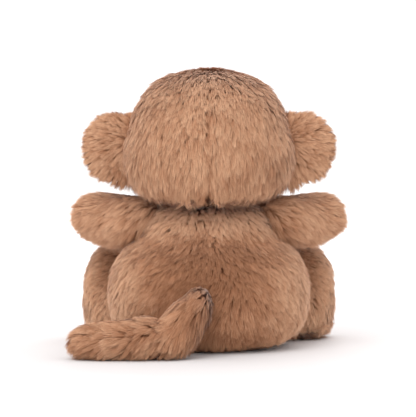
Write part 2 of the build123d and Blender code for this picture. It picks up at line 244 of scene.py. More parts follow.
# ---------------------------------------------------------------- skins
class Skin:
    """A closed outer surface: corner places, corner normals and faces as numpy arrays."""

    def __init__(self, places, faces):
        self.places = places
        self.faces = faces
        self.measure()

    def measure(self):
        corners = self.places[self.faces]
        cross = np.cross(corners[:, 2] - corners[:, 0], corners[:, 3] - corners[:, 1])
        self.areas = np.linalg.norm(cross, axis=1) / 2
        self.normals = np.zeros_like(self.places)
        for k in range(4):
            np.add.at(self.normals, self.faces[:, k], cross)
        self.normals = unit(self.normals)
        self.centres = corners.mean(1)

    def move(self, distances):
        self.places = self.places + self.normals * np.reshape(distances, (-1, 1))
        self.measure()

    def relax(self, rounds):
        """Even out the steps that remeshing leaves."""
        edges = np.concatenate([self.faces[:, [k, (k + 1) % 4]] for k in range(4)])
        for _ in range(rounds):
            total = np.zeros_like(self.places)
            count = np.zeros(len(self.places))
            for a, b in ((0, 1), (1, 0)):
                np.add.at(total, edges[:, a], self.places[edges[:, b]])
                np.add.at(count, edges[:, a], 1)
            self.places = total / count[:, None]
        self.measure()


def linked(name, mesh):
    """A new object for a mesh, in the scene."""
    piece = bpy.data.objects.new(name, mesh)
    bpy.context.scene.collection.objects.link(piece)
    return piece


def evaluated(piece):
    """The mesh of an object with its modifiers applied; the object itself is then removed."""
    graph = bpy.context.evaluated_depsgraph_get()
    result = bpy.data.meshes.new_from_object(piece.evaluated_get(graph))
    bpy.data.objects.remove(piece)
    return result


def mesh_arrays(mesh):
    places = np.empty(len(mesh.vertices) * 3)
    mesh.vertices.foreach_get("co", places)
    quads = np.array([p.vertices[:] for p in mesh.polygons if len(p.vertices) == 4])
    return places.reshape(-1, 3), quads


SIM_FRAMES = 20
PRESSURE = 4.0
CLOTH_MASS = 0.01
CLOTH_EASE = 0.04


def inflated(skin, most):
    """The skin pushed out by its filling as cloth; no point moves further than most."""
    mesh = bpy.data.meshes.new("cloth")
    mesh.from_pydata(skin.places.tolist(), [], skin.faces.tolist())
    cloth = linked("cloth", mesh)
    settings = cloth.modifiers.new("cloth", "CLOTH").settings
    settings.mass = CLOTH_MASS
    settings.shrink_min = -CLOTH_EASE
    settings.use_pressure = True
    settings.uniform_pressure_force = PRESSURE
    settings.effector_weights.gravity = 0
    scene = bpy.context.scene
    for step in range(1, SIM_FRAMES + 1):
        scene.frame_set(step)
    moved, _ = mesh_arrays(evaluated(cloth))
    scene.frame_set(1)
    shift = moved - skin.places
    far = np.linalg.norm(shift, axis=1, keepdims=True)
    skin.places = skin.places + shift * np.minimum(1, most / np.maximum(far, 1e-9))
    skin.measure()


def subdivided(skin):
    mesh = bpy.data.meshes.new("coarse")
    mesh.from_pydata(skin.places.tolist(), [], skin.faces.tolist())
    piece = linked("coarse", mesh)
    piece.modifiers.new("subdivision", "SUBSURF").levels = 1
    return Skin(*mesh_arrays(evaluated(piece)))


def remeshed_skin(nodes, voxel, sunk, swell=0.0):
    """The outer surface that several CAD nodes share, drawn in by sunk and then swelled by its filling."""
    places, faces, start = [], [], 0
    for name in nodes:
        mesh = NODES[name].data
        places += [v.co[:] for v in mesh.vertices]
        faces += [[start + i for i in p.vertices] for p in mesh.polygons]
        start += len(mesh.vertices)
    mesh = bpy.data.meshes.new("joined")
    mesh.from_pydata(places, [], faces)
    joined = linked("joined", mesh)
    remesh = joined.modifiers.new("remesh", "REMESH")
    remesh.mode = "VOXEL"
    remesh.voxel_size = voxel
    skin = Skin(*outer_part(*mesh_arrays(evaluated(joined))))
    skin.relax(4)
    skin.move(-sunk - swell)
    if swell:
        inflated(skin, 2 * swell)
    elif swell:
        skin.move(swell)
    return subdivided(skin) if swell else skin


def inside_by(skin, depth):
    """A test for places that lie deeper than depth inside a skin."""
    tree = BVHTree.FromPolygons(skin.places.tolist(), skin.faces.tolist())

    def test(places):
        result = np.zeros(len(places), bool)
        for i, place in enumerate(places):
            spot, normal, _, _ = tree.find_nearest(place)
            result[i] = (Vector(place) - spot).dot(normal) < -depth
        return result
    return test


def outer_part(places, quads):
    """The connected part that reaches furthest, so that no inner wall is kept."""
    label = np.arange(len(places))
    while True:
        low = label[quads].min(1)
        fresh = label.copy()
        for k in range(4):
            np.minimum.at(fresh, quads[:, k], low)
        fresh = fresh[fresh]
        if (fresh == label).all():
            break
        label = fresh
    names, counts = np.unique(label, return_counts=True)
    keep = label == names[counts.argmax()]
    index = np.cumsum(keep) - 1
    faces = index[quads[keep[quads[:, 0]]]]
    return places[keep], faces


def seam_pinch(skin, distance, depth, width):
    """Draw the skin in along a seam; distance is each corner's distance from it."""
    skin.move(-depth * np.exp(-((distance / width) ** 2)))


# ---------------------------------------------------------------- pile
ROOT_LIFT, TIP_LIFT = math.radians(38), math.radians(72)
FLOOR_CLEARANCE = 0.3 * MM
TORSO_PILE = 0.0115
HEAD_PILE = 0.0108
EAR_PILE = 0.0095
TAIL_PILE = 0.008
NECK_PILE = 12 * MM
ARM_PILE = 12.5 * MM
LEG_PILE = 11.5 * MM
TAIL_COLLAR_RADIUS = 0.02


def constant(value):
    return lambda places: np.full(len(places), value)


class Pile:
    """How the pile of a panel is cut and combed."""

    def __init__(self, length, comb, density=3.2, width=0.4 * MM, clump=0.5, spacing=2.3 * MM,
                 root_lift=ROOT_LIFT, tip_lift=TIP_LIFT, unruly=0.22, keep=None, shade=None, droop=None,
                 upright=None):
        self.length = length
        self.comb = comb
        self.density = density
        self.width = width
        self.clump = clump
        self.spacing = spacing
        self.root_lift = root_lift
        self.tip_lift = tip_lift
        self.unruly = unruly
        self.keep = keep
        self.shade = shade
        self.droop = droop or constant(0.12)
        self.upright = upright or constant(0.0)

    def bent(self, places, normals, combs, lengths):
        """Middle and tip of strands that rise steeply, then lie over and hang a little."""
        ease = (1 - 0.92 * self.upright(places))[:, None]
        root_lift, tip_lift = self.root_lift * ease, self.tip_lift * ease
        half = lengths[:, None] / 2
        middles = places + half * (normals * np.cos(root_lift) + combs * np.sin(root_lift))
        tips = middles + half * (normals * np.cos(tip_lift) + combs * np.sin(tip_lift))
        hang = self.droop(places) * lengths
        middles[:, 2] -= 0.2 * hang
        tips[:, 2] -= hang
        return middles, tips


def short_pile(length, comb, density, tip_lift, root_lift=0.3, clump=0.25):
    """The close pile of the face, muzzle, inner ears and soles."""
    return Pile(constant(length), comb, density=density, clump=clump, spacing=2.5 * MM, root_lift=root_lift,
                tip_lift=tip_lift)


def scattered(skin, chosen, count, rng):
    """Random places on the chosen faces, with their normals."""
    share = skin.areas[chosen] / skin.areas[chosen].sum()
    picks = chosen[rng.choice(len(chosen), size=count, p=share)]
    a, b = rng.random(count), rng.random(count)
    weights = np.stack([(1 - a) * (1 - b), a * (1 - b), a * b, (1 - a) * b], axis=1)[:, :, None]
    corners = skin.faces[picks]
    places = (skin.places[corners] * weights).sum(1)
    normals = unit((skin.normals[corners] * weights).sum(1))
    return places, normals


def strand_guides(skin, chosen, pile, rng):
    """One guide for each tuft, with its own lean, length and shade."""
    area = skin.areas[chosen].sum()
    count = max(int(area / pile.spacing ** 2), 8)
    places, normals = scattered(skin, chosen, count, rng)
    combs = tangent(pile.comb(places), normals)
    wander = np.array([noise.noise_vector(Vector(p * 45)) for p in places])
    combs = tangent(combs + pile.unruly * (wander * 1.4 + rng.normal(0, 0.6, places.shape)), normals)
    swell = np.array([noise.noise(Vector(p * 70 + 9)) for p in places])
    lengths = pile.length(places) * (1 + 0.18 * swell + rng.normal(0, 0.08, count))
    shades = 0.2 * swell + rng.normal(0, 0.08, count) + (pile.shade(places) if pile.shade else 0.7)
    middles, tips = pile.bent(places, normals, combs, lengths)
    return places, combs, lengths, shades, middles, tips


def grow_pile(skin, chosen, pile, rng):
    """Corner places, faces, strand map and normals of the strands on the chosen faces."""
    area = skin.areas[chosen].sum()
    count = int(area / MM ** 2 * pile.density)
    places, normals = scattered(skin, chosen, count, rng)
    if pile.keep:
        kept = pile.keep(places)
        places, normals = places[kept], normals[kept]
        count = len(places)
    guides, combs, lengths, shades, middles, tips = strand_guides(skin, chosen, pile, rng)
    tree = KDTree(len(guides))
    for i, place in enumerate(guides):
        tree.insert(place, i)
    tree.balance()
    nearest = np.array([tree.find(place)[1] for place in places])
    own_combs = tangent(combs[nearest] + rng.normal(0, 0.18, places.shape), normals)
    own_lengths = lengths[nearest] * rng.uniform(0.75, 1.12, count)
    own_middles, own_tips = pile.bent(places, normals, own_combs, own_lengths)
    pull = pile.clump * rng.uniform(0.6, 1.2, count)[:, None]
    scatter = rng.normal(0, 0.45 * MM, places.shape)
    own_middles += (middles[nearest] - own_middles) * pull * 0.35
    own_tips += (tips[nearest] + scatter - own_tips) * pull

    lean = unit(own_tips - places)
    across = unit(np.cross(lean, normals))
    roll = rng.uniform(-0.7, 0.7, count)[:, None]
    across = across * np.cos(roll) + np.cross(lean, across) * np.sin(roll)
    half = pile.width / 2 * rng.uniform(0.75, 1.3, count)[:, None]
    corners = np.stack(
        [places - across * half, places + across * half, own_middles + across * half * 0.9,
         own_middles - across * half * 0.9, own_tips], axis=1)
    corners[:, :, 2] = np.maximum(corners[:, :, 2], FLOOR_CLEARANCE)
    facing = unit(np.cross(across, own_middles - places))
    flip = (facing * normals).sum(1) < 0
    corners[flip] = corners[flip][:, [1, 0, 3, 2, 4]]
    facing[flip] *= -1
    soft = unit(0.65 * normals + 0.5 * facing + 0.15 * lean)
    strand_normals = np.repeat(soft[:, None], 5, axis=1)
    own_shades = np.clip(shades[nearest] + rng.normal(0, 0.1, count), 0.02, 0.98)
    strand_map = np.empty((count, 5, 2))
    strand_map[:, :, 0] = own_shades[:, None]
    strand_map[:, :, 1] = (0.02, 0.02, 0.5, 0.5, 0.98)
    return corners.reshape(-1, 3), strand_map.reshape(-1, 2), strand_normals.reshape(-1, 3)


def plush_piece(name, body, material, skin, chosen, pile, replaces, seed, across=None):
    """A panel of plush: the backing cloth with its pile on it, as one mesh. With across given, it stays in world
    place and is attached to no body.
    """
    rng = np.random.default_rng(seed)
    used, inverse = np.unique(skin.faces[chosen], return_inverse=True)
    cloth_faces = inverse.reshape(-1, 4)
    strand_places, strand_map, strand_normals = grow_pile(skin, chosen, pile, rng)
    strands = len(strand_places) // 5
    base = len(used)
    places = np.concatenate([skin.places[used], strand_places])
    normals = np.concatenate([skin.normals[used], strand_normals])
    cloth_map = np.tile((0.5, 0.3), (base, 1))
    corner_map = np.concatenate([cloth_map, strand_map])

    start = base + 5 * np.arange(strands)[:, None]
    quads = start + np.array([0, 1, 2, 3])
    tips = start + np.array([3, 2, 4])
    corners = np.concatenate([cloth_faces.ravel(), quads.ravel(), tips.ravel()])
    sizes = np.concatenate([np.full(len(cloth_faces) + strands, 4), np.full(strands, 3)])
    mesh = bpy.data.meshes.new(name)
    mesh.vertices.add(len(places))
    mesh.vertices.foreach_set("co", places.ravel())
    mesh.loops.add(len(corners))
    mesh.loops.foreach_set("vertex_index", corners)
    mesh.polygons.add(len(sizes))
    mesh.polygons.foreach_set("loop_start", np.concatenate([[0], np.cumsum(sizes)[:-1]]))
    mesh.polygons.foreach_set("use_smooth", np.ones(len(sizes), bool))
    mesh.update()
    layer = mesh.uv_layers.new(name="OFBake")
    layer.data.foreach_set("uv", corner_map[corners].ravel())
    mesh.normals_split_custom_set_from_vertices(normals.tolist())
    mesh.materials.append(material)
    piece = linked(name, mesh)
    if across:
        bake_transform(piece)
    else:
        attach(piece, body)
    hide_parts(*replaces)
    return piece


def outside_pockets(pockets):
    """Keeps strands clear of the pockets that limbs sit in."""
    def keep(places):
        kept = np.ones(len(places), bool)
        for centre, radius in pockets:
            kept &= np.linalg.norm(places - centre, axis=1) > radius
        return kept
    return keep


# ---------------------------------------------------------------- torso
def torso_comb(places):
    """Down the body, spreading to the sides, and over the root of the tail."""
    outward = np.zeros_like(places)
    outward[:, 0] = places[:, 0] / torso_high[0]
    outward[:, 2] = -0.75
    near_tail = near(places, tail_root, 0.026)[:, None]
    return outward * (1 - near_tail) + near_tail * np.array([1.0, 0.2, -0.2])


def shaded_back_hollow(places):
    """1 in the hollow of the back above the tail, where the pile is cut shorter and its colour holds painted
    shade.
    """
    spot = np.exp(-((places[:, 0] / 0.038) ** 2 + ((places[:, 2] - 0.072) / 0.026) ** 2))
    return spot * (places[:, 1] > 0)


def make_torso():
    nodes = TORSO_PANELS + ("torso_stuffing", "pellet_bag", "pellet_fill")
    skin = remeshed_skin(nodes, 4.5 * MM, 2.2 * MM, swell=1.5 * MM)
    seam_pinch(skin, np.where(skin.places[:, 1] > 0, np.abs(skin.places[:, 0]), 1), 0.7 * MM, 3 * MM)
    seam_pinch(skin, np.abs(skin.places[:, 1]), 0.8 * MM, 3 * MM)
    shoulder = smooth_step(skin.places[:, 2], 0.088, 0.106)
    shoulder *= smooth_step(np.abs(skin.places[:, 0]), 0.018, 0.036)
    skin.move(4 * MM * shoulder)
    skin.places[:, 2] = np.maximum(skin.places[:, 2], FLOOR_CLEARANCE)
    pockets = [(tail_root, 9 * MM)]
    for side in SIDES:
        pockets.append((joint_place(f"arm_{side}_swing"), 17 * MM))
        pockets.append((joint_place(f"leg_{side}_splay"), 23.5 * MM))
    keep = outside_pockets(pockets)

    def length(places):
        under = smooth_step(places[:, 2], 0, 0.02)
        round_tail = near(places, tail_root, TAIL_COLLAR_RADIUS)
        return TORSO_PILE * (1 - 0.25 * shaded_back_hollow(places) + 0.3 * round_tail) * (0.35 + 0.65 * under)

    def upright(places):
        return 0.3 * near(places, tail_root, TAIL_COLLAR_RADIUS)

    def shade(places):
        # Painted rim light: the pile is painted lighter towards the sides of the torso than at the back centre.
        side = smooth_step(np.abs(places[:, 0]), 0.03, 0.075)
        front = smooth_step(-places[:, 1], 0, 0.04)
        # low is 1 near the floor, where the sides of the torso get painted shade.
        low = smooth_step(-places[:, 2], -0.05, -0.02)
        # Painted light: the top of the torso is painted lighter, against the shadow that the head casts on it.
        high = smooth_step(places[:, 2], 0.079, 0.115)
        tone = 0.24 + 0.58 * np.maximum(side, front) + 0.56 * high * (1 - side)
        # Painted shade, taken off the tone: low on the sides near the floor and in the hollow of the back above
        # the tail.
        return tone - 0.1 * low * side - 0.3 * shaded_back_hollow(places)

    x, y, z = skin.centres.T
    seat_radius, seat_depth_ratio = 0.046, 0.86
    seat = (z < 4 * MM) & (np.hypot(x, y / seat_depth_ratio) < seat_radius)
    regions = {
        "seat_base_plush": (seat, "seat_base_panel"),
        "belly_plush": (~seat & (y <= 0), "torso_belly_panel", "torso_stuffing"),
        "back_left_plush": (~seat & (y > 0) & (x > 0), "torso_back_panel_left"),
        "back_right_plush": (~seat & (y > 0) & (x <= 0), "torso_back_panel_right"),
    }
    for seed, (name, (region, *replaced)) in enumerate(regions.items()):
        pile = Pile(length, torso_comb, density=4.2, keep=keep, shade=shade, unruly=0.3, upright=upright)
        if name == "seat_base_plush":
            pile = Pile(constant(2.5 * MM), torso_comb, density=0.6)
        elif name == "belly_plush":
            pile = Pile(length, torso_comb, density=2.1, width=0.5 * MM, keep=keep, shade=shade)
        piece = plush_piece(name, "torso", LONG_PILE, skin, np.flatnonzero(region), pile,
                            replaced, 10 + seed)
    return skin


def make_closing_stitches(skin):
    """Short hand stitches across the filling gap in the centre back seam, down among the pile."""
    surface = BVHTree.FromPolygons(skin.places.tolist(), skin.faces.tolist())
    low, high = node_box("back_closing_stitches")
    stitches = []
    for share in np.linspace(0, 1, 9):
        z = low[2] + (high[2] - low[2]) * share
        run = []
        for x in np.linspace(-2 * MM, 2 * MM, 4):
            spot, normal, _, _ = surface.ray_cast(Vector((x, 0.3, z + 0.3 * x)), Vector((0, -1, 0)))
            run.append(np.array(spot) + np.array(normal) * 0.35 * MM)
        stitches.append(run)
    tube("closing_hand_stitches", stitches, 0.4 * MM, SEWING_THREAD, "torso",
         ("back_closing_stitches",))


# ---------------------------------------------------------------- neck
def make_neck():
    skin = remeshed_skin(("neck_stuffing",), 1.6 * MM, 0.8 * MM)

    def comb(places):
        return places * (6, 6, 0) + np.array([0, 0, -0.6])

    pile = Pile(constant(NECK_PILE), comb, density=2.5, droop=constant(0.3), shade=constant(0.45))
    everything = np.arange(len(skin.faces))
    piece = plush_piece("neck_plush", "neck", LONG_PILE, skin, everything, pile,
                        ("neck_stuffing",), 20)


# ---------------------------------------------------------------- head
CROWN = np.array([0, -0.03, 0])


def head_comb(places):
    """Round a small whorl at the crown, then down and a little away from the centre seam."""
    around = (places - CROWN) * (1, 1, 0)
    reach = np.linalg.norm(around, axis=1, keepdims=True)
    swirl = np.cross((0, 0, 1.0), around) * np.exp(-((reach / 0.02) ** 2)) * 0.8
    spread = unit(around + swirl) * (0.28 + np.exp(-((reach / 0.04) ** 2)))
    over_centre = np.exp(-((reach / 0.014) ** 2)) * np.array([0.3, 1.6, 0])
    return spread + over_centre + np.array([0, 0, -1.0])


def in_face(places):
    """Inside the oval that the face panel is cut to."""
    centre = (face_low + face_high) / 2
    half = (face_high - face_low) / 2
    across = (places[:, 0] - centre[0]) / half[0]
    up = (places[:, 2] - centre[2]) / half[2]
    return (across ** 2 + up ** 2 < 1) & (places[:, 1] < -0.02)


def make_head():
    skin = remeshed_skin(HEAD_PANELS + ("head_stuffing",), 4.5 * MM, 2.2 * MM, swell=1.5 * MM)
    high = smooth_step(skin.places[:, 2], head_centre[2], head_centre[2] + 0.025)
    beside = smooth_step(np.abs(skin.places[:, 0]), 0.02, 0.045)
    top = smooth_step(skin.places[:, 2], head_high[2] - 0.03, head_high[2])
    skin.move(2.0 * MM * high * beside + 0.3 * MM * top)
    x, y, z = skin.places.T
    behind = (y > 0) & (z < head_high[2] - 0.02)
    seam_pinch(skin, np.where(behind, np.abs(x), 1), 2.4 * MM, 3 * MM)
    face = in_face(skin.centres)
    x = skin.centres[:, 0]
    neck_room = np.hypot(skin.centres[:, 0], skin.centres[:, 1]) < 0.024
    underside = (skin.centres[:, 2] < head_low[2] + 0.012) & neck_room

    def length(places):
        low = smooth_step(head_high[2] - places[:, 2], 0.03, 0.085)
        return HEAD_PILE + 0.0034 * low - 0.001 * near_crown(places)

    def rim(places):
        return smooth_step(head_low[2] + 0.03 - places[:, 2], 0, 0.018)

    def droop(places):
        return 0.12 + 0.14 * rim(places)

    def upright(places):
        return 0.12 * near_crown(places)

    def near_crown(places):
        return near(places[:, :2], CROWN[:2], 0.024) * (places[:, 2] > 0.18)

    def shade(places):
        seam = np.exp(-((places[:, 0] / 0.0022) ** 2)) * (places[:, 1] > 0)
        below_crown = smooth_step(head_high[2] - places[:, 2], 0.02, 0.05)
        return 0.57 - 0.4 * seam * below_crown + 0.22 * near_crown(places)

    pile = Pile(length, head_comb, clump=0.48, unruly=0.18, shade=shade, droop=droop, upright=upright)
    for seed, (name, region, replaced) in enumerate((
        ("head_left_plush", ~face & ~underside & (x > 0), ("head_back_panel_left",)),
        ("head_right_plush", ~face & ~underside & (x <= 0), ("head_back_panel_right",)),
    )):
        piece = plush_piece(name, "head", LONG_PILE, skin, np.flatnonzero(region), pile,
                            replaced, 30 + seed)

    def from_muzzle(places):
        return places - np.array([0, 0, (muzzle_low[2] + muzzle_high[2]) / 2])

    short = short_pile(2.6 * MM, from_muzzle, density=3.2, tip_lift=0.8)
    piece = plush_piece("face_plush", "head", SHORT_PILE, skin, np.flatnonzero(face), short,
                        ("face_panel",), 33)
    muzzle = remeshed_skin(("muzzle_panel", "muzzle_stuffing"), 1.8 * MM, 1.0 * MM)
    below_nose = muzzle.places[:, 2] < nose_low[2]
    seam_pinch(muzzle, np.where(below_nose, np.abs(muzzle.places[:, 0]), 1), 0.8 * MM, 2 * MM)

    def back_from_nose(places):
        return places * (8, 0, 0) + np.array([0, 1, -0.3])

    short = short_pile(2.4 * MM, back_from_nose, density=3.4, tip_lift=0.9)
    everything = np.arange(len(muzzle.faces))
    piece = plush_piece("muzzle_plush", "head", SHORT_PILE, muzzle, everything, short,
                        ("muzzle_panel",), 34)
    return skin, muzzle


# ---------------------------------------------------------------- ears
def make_ear(side, sign, in_head):
    nodes = [f"ear_{side}_back_panel", f"ear_{side}_lining", f"ear_{side}_batting"]
    skin = remeshed_skin(nodes, 1.8 * MM, 0)
    low, high = node_box(*nodes)
    centre = (low + high) / 2
    root = np.array([sign * min(abs(low[0]), abs(high[0])), centre[1], centre[2]])
    facing_head = smooth_step(-sign * skin.normals[:, 0], 0.2, 0.6)
    facing_head *= 1 - smooth_step(sign * (skin.places - root)[:, 0], 0.008, 0.02)
    skin.places[:, 0] -= sign * 5.5 * MM * facing_head
    skin.move(-1.4 * MM * (1 - facing_head))

    def comb(places):
        return (places - root + np.array([sign * 0.004, 0, -0.004])) * (1, 0.2, 1)

    def keep(places):
        return ~in_head(places)

    def length(places):
        hanging = smooth_step(root[2] - places[:, 2], 0.012, 0.024)
        inner = 1 - smooth_step(sign * (places - root)[:, 0], 0.004, 0.016)
        return EAR_PILE + 0.005 * hanging * inner

    from_centre = (skin.centres - centre)[:, [0, 2]] / ((high - low) / 2)[[0, 2]]
    lining_share = 0.72
    front = (skin.centres[:, 1] < root[1]) & (np.linalg.norm(from_centre, axis=1) < lining_share)
    long_pile = Pile(length, comb, density=4.0, clump=0.55, tip_lift=math.radians(65), unruly=0.3, keep=keep,
                     shade=constant(0.62))
    short = short_pile(3 * MM, comb, density=3.0, tip_lift=0.9, root_lift=0.4, clump=0.3)
    seed = 40 if sign > 0 else 44
    piece = plush_piece(f"ear_{side}_plush", f"ear_{side}", LONG_PILE, skin,
                        np.flatnonzero(~front), long_pile,
                        (f"ear_{side}_back_panel", f"ear_{side}_batting"), seed)
    piece = plush_piece(f"ear_{side}_inner_plush", f"ear_{side}", SHORT_PILE, skin,
                        np.flatnonzero(front), short, (f"ear_{side}_lining",), seed + 1)


# ---------------------------------------------------------------- arms
def make_arm(side, sign, in_torso):
    upper, palm, stuffing = (f"arm_{side}_{part}" for part in ("upper_panel", "palm_panel", "stuffing"))
    skin = remeshed_skin((upper, palm, stuffing, f"shoulder_{side}_wad"), 4 * MM, 2.0 * MM, swell=1.2 * MM)
    root = joint_place(f"arm_{side}_lift")
    low, high = node_box(upper, palm)
    end = np.array([high[0] if sign > 0 else low[0], low[1], (low[2] + high[2]) / 2])
    end -= unit(end - root) * 0.012
    axis = unit(end - root)
    skin.places[:, 0] += sign * 2.5 * MM * smooth_step(sign * skin.places[:, 0], 0.08, 0.11)
    over_shoulder = smooth_step(root[0] * sign - sign * skin.places[:, 0], -0.002, 0.014)
    over_shoulder *= smooth_step(skin.places[:, 2] - root[2], -0.008, 0.008)
    skin.places[:, 0] -= sign * 9 * MM * over_shoulder
    skin.places[:, 2] += 1.5 * MM * over_shoulder
    low_end = smooth_step(sign * skin.places[:, 0], 0.083, 0.104)
    low_end *= smooth_step(root[2] - skin.places[:, 2], -0.002, 0.012)
    skin.places[:, 2] += 3.5 * MM * low_end
    skin.measure()
    seam_pinch(skin, np.abs(skin.places[:, 2] - root[2]), 0.8 * MM, 2.5 * MM)

    def comb(places):
        """Along the limb and hanging; beside the body it runs sideways first."""
        near = 1 - smooth_step((places - root) @ axis, -0.01, 0.02)[:, None]
        return axis + near * np.array([sign * 0.9, 0.3, 0]) + np.array([0, 0, -0.4])

    def keep(places):
        return ~in_torso(places)

    def droop(places):
        return 0.38 - 0.3 * smooth_step((places - root) @ axis, 0, 0.04)

    pile = Pile(constant(ARM_PILE), comb, keep=keep, shade=constant(0.58), unruly=0.28, droop=droop)
    above = skin.centres[:, 2] > root[2]
    seed = 50 if sign > 0 else 54
    for name, region, replaced in (
        (f"arm_{side}_upper_plush", above, upper),
        (f"arm_{side}_palm_plush", ~above, palm),
    ):
        piece = plush_piece(name, f"arm_{side}", LONG_PILE, skin, np.flatnonzero(region), pile,
                            (replaced,), seed)
        seed += 1


# ---------------------------------------------------------------- legs
def make_leg(side, sign, in_torso):
    outer, inner, stuffing = (f"leg_{side}_{part}" for part in ("outer_panel", "inner_panel", "stuffing"))
    sole = f"sole_pad_{side}"
    skin = remeshed_skin((outer, inner, sole, stuffing, f"hip_{side}_wad"), 4 * MM, 2.0 * MM, swell=1.2 * MM)
    root = joint_place(f"leg_{side}_lift")
    low, high = node_box(outer, inner, sole)
    foot = np.array([(high[0] if sign > 0 else low[0]) - sign * 0.02, low[1] + 0.02, (low[2] + high[2]) / 2])
    wide = smooth_step(sign * skin.places[:, 0], 0.068, 0.095)
    rear = smooth_step(skin.places[:, 1], -0.075, -0.05)
    bulge = np.sin(np.pi * np.clip(skin.places[:, 2] / high[2], 0.12, 0.88))
    skin.places[:, 0] += sign * 3.5 * MM * wide * bulge
    skin.places[:, 1] += 9 * MM * wide * rear
    skin.places[:, 2] *= 1 + 0.09 * smooth_step(skin.places[:, 2], 0.03, 0.06)
    skin.places[:, 2] -= 6 * MM * wide * (1 - smooth_step(skin.places[:, 2], 0.012, 0.035))
    skin.places[:, 2] = np.maximum(skin.places[:, 2], FLOOR_CLEARANCE)
    skin.measure()
    sole_low, sole_high = node_box(sole)
    sole_centre = (sole_low + sole_high) / 2
    sole_half = (sole_high - sole_low) / 2
    outward = unit((foot - root) * (1, 1, 0))

    def comb(places):
        spread = (places - foot) * (1, 1, 0.25)
        return unit(spread) + 0.5 * outward + np.array([sign * 0.2, 0.2, -0.3])

    def keep(places):
        return ~in_torso(places)

    across = (skin.centres[:, 0] - sole_centre[0]) / sole_half[0]
    up = (skin.centres[:, 2] - sole_centre[2]) / sole_half[2]
    is_sole = (across ** 2 + up ** 2 < 1) & (skin.centres[:, 1] < foot[1] - 0.006)
    sideways = np.cross(outward, (0, 0, 1)) * sign
    outside = (skin.centres - root) @ sideways > 0
    long_pile = Pile(constant(LEG_PILE), comb, keep=keep, shade=constant(0.76))
    short = short_pile(2.4 * MM, comb, density=3.0, tip_lift=0.8)
    seed = 60 if sign > 0 else 64
    for name, region, replaced, slot, material, pile in (
        (f"leg_{side}_outer_plush", ~is_sole & outside, outer, "long_plush", LONG_PILE, long_pile),
        (f"leg_{side}_inner_plush", ~is_sole & ~outside, inner, "long_plush", LONG_PILE, long_pile),
        (f"sole_{side}_plush", is_sole, sole, "short_plush", SHORT_PILE, short),
    ):
        piece = plush_piece(name, f"leg_{side}", material, skin, np.flatnonzero(region), pile,
                            (replaced,), seed)
        seed += 1


# ---------------------------------------------------------------- tail
def make_tail():
    """One tube of plush that runs over both parts of the tail and its joint."""
    bend = (tail_root + tail_joint) / 2 + np.array([0, 0.003, -0.004])
    end = np.array([tip_high[0] - 0.012, (tip_low[1] + tip_high[1]) / 2, (tip_low[2] + tip_high[2]) / 2])
    line = np.array([tail_root, bend, tail_joint, end])
    runs = unit(np.diff(line, axis=0))
    nodes = ("tail_root_skin", "tail_root_stuffing", "tail_root_wad", "tail_tip_skin", "tail_tip_stuffing")
    skin = remeshed_skin(nodes, 3.2 * MM, 2.0 * MM, swell=1.2 * MM)
    skin.places[:, 2] = np.maximum(skin.places[:, 2], FLOOR_CLEARANCE)
    skin.relax(4)
    skin.places[:, 0] += 3 * MM * smooth_step(skin.places[:, 0], 0.07, 0.1)
    skin.measure()
    beside_seam = np.exp(-(((skin.places[:, 0] - tail_root[0] - 0.024) / 0.017) ** 2))
    under = smooth_step(tail_root[2] + 0.002 - skin.places[:, 2], 0, 0.012)
    skin.places[:, 2] -= 8 * MM * beside_seam * under
    root_end = 1 - smooth_step(skin.places[:, 0], tail_root[0] - 0.018, tail_root[0] + 0.014)
    skin.places[:, 0] += 9 * MM * root_end
    skin.places[:, 1] -= 3 * MM * root_end
    skin.measure()

    def nearest_run(places):
        """Which run of the centre line each place belongs to, and its nearest point there."""
        spots, gaps = [], []
        for i, run in enumerate(runs):
            length = np.linalg.norm(line[i + 1] - line[i])
            spot = line[i] + run * np.clip((places - line[i]) @ run, 0, length)[:, None]
            spots.append(spot)
            gaps.append(np.linalg.norm(places - spot, axis=1))
        chosen = np.argmin(gaps, axis=0)
        return chosen, np.array(spots)[chosen, np.arange(len(places))]

    def comb(places):
        """Towards the tip, parting up and down along the side that faces away from the body."""
        chosen, spots = nearest_run(places)
        offset = places - spots
        apart = np.tanh(offset[:, 2:] / 0.005) * smooth_step(offset[:, 1], -0.008, 0.004)[:, None]
        return runs[chosen] + apart * np.array([0, 0, 0.5])

    def length(places):
        return TAIL_PILE + 0.0062 * smooth_step(places[:, 0], tail_root[0] - 0.01, tail_root[0] + 0.012)

    def shade(places):
        _, spots = nearest_run(places)
        # Painted shade: the tail pile is painted darker towards its root, where the tail meets the body.
        from_root = smooth_step(places[:, 0], tail_root[0] - 0.005, tail_root[0] + 0.03)
        # Painted light: the upper side of the tail is painted lighter than its underside.
        return 0.22 + 0.22 * from_root + 0.12 * smooth_step((places - spots)[:, 2], 0, 0.01)

    def droop(places):
        return 0.55 - 0.35 * smooth_step(places[:, 0], tail_root[0], tail_root[0] + 0.03)

    pile = Pile(length, comb, density=5.0, clump=0.6, spacing=2.4 * MM, unruly=0.3, droop=droop,
                tip_lift=math.radians(70), shade=shade)
    everything = np.arange(len(skin.faces))
    reach = unit(tail_joint - bend) * 0.012
    across = ("tail_tip", tail_joint - reach, tail_joint + reach)
    piece = plush_piece("tail_plush", "tail_root", LONG_PILE, skin, everything, pile, nodes, 70,
                        across)


# ---------------------------------------------------------------- face stitching
def plain_piece(name, places, faces, material, body, replaces):
    mesh = bpy.data.meshes.new(name)
    mesh.from_pydata([tuple(p) for p in places], [], faces)
    mesh.polygons.foreach_set("use_smooth", np.ones(len(faces), bool))
    mesh.materials.append(material)
    piece = linked(name, mesh)
    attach(piece, body)
    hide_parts(*replaces)


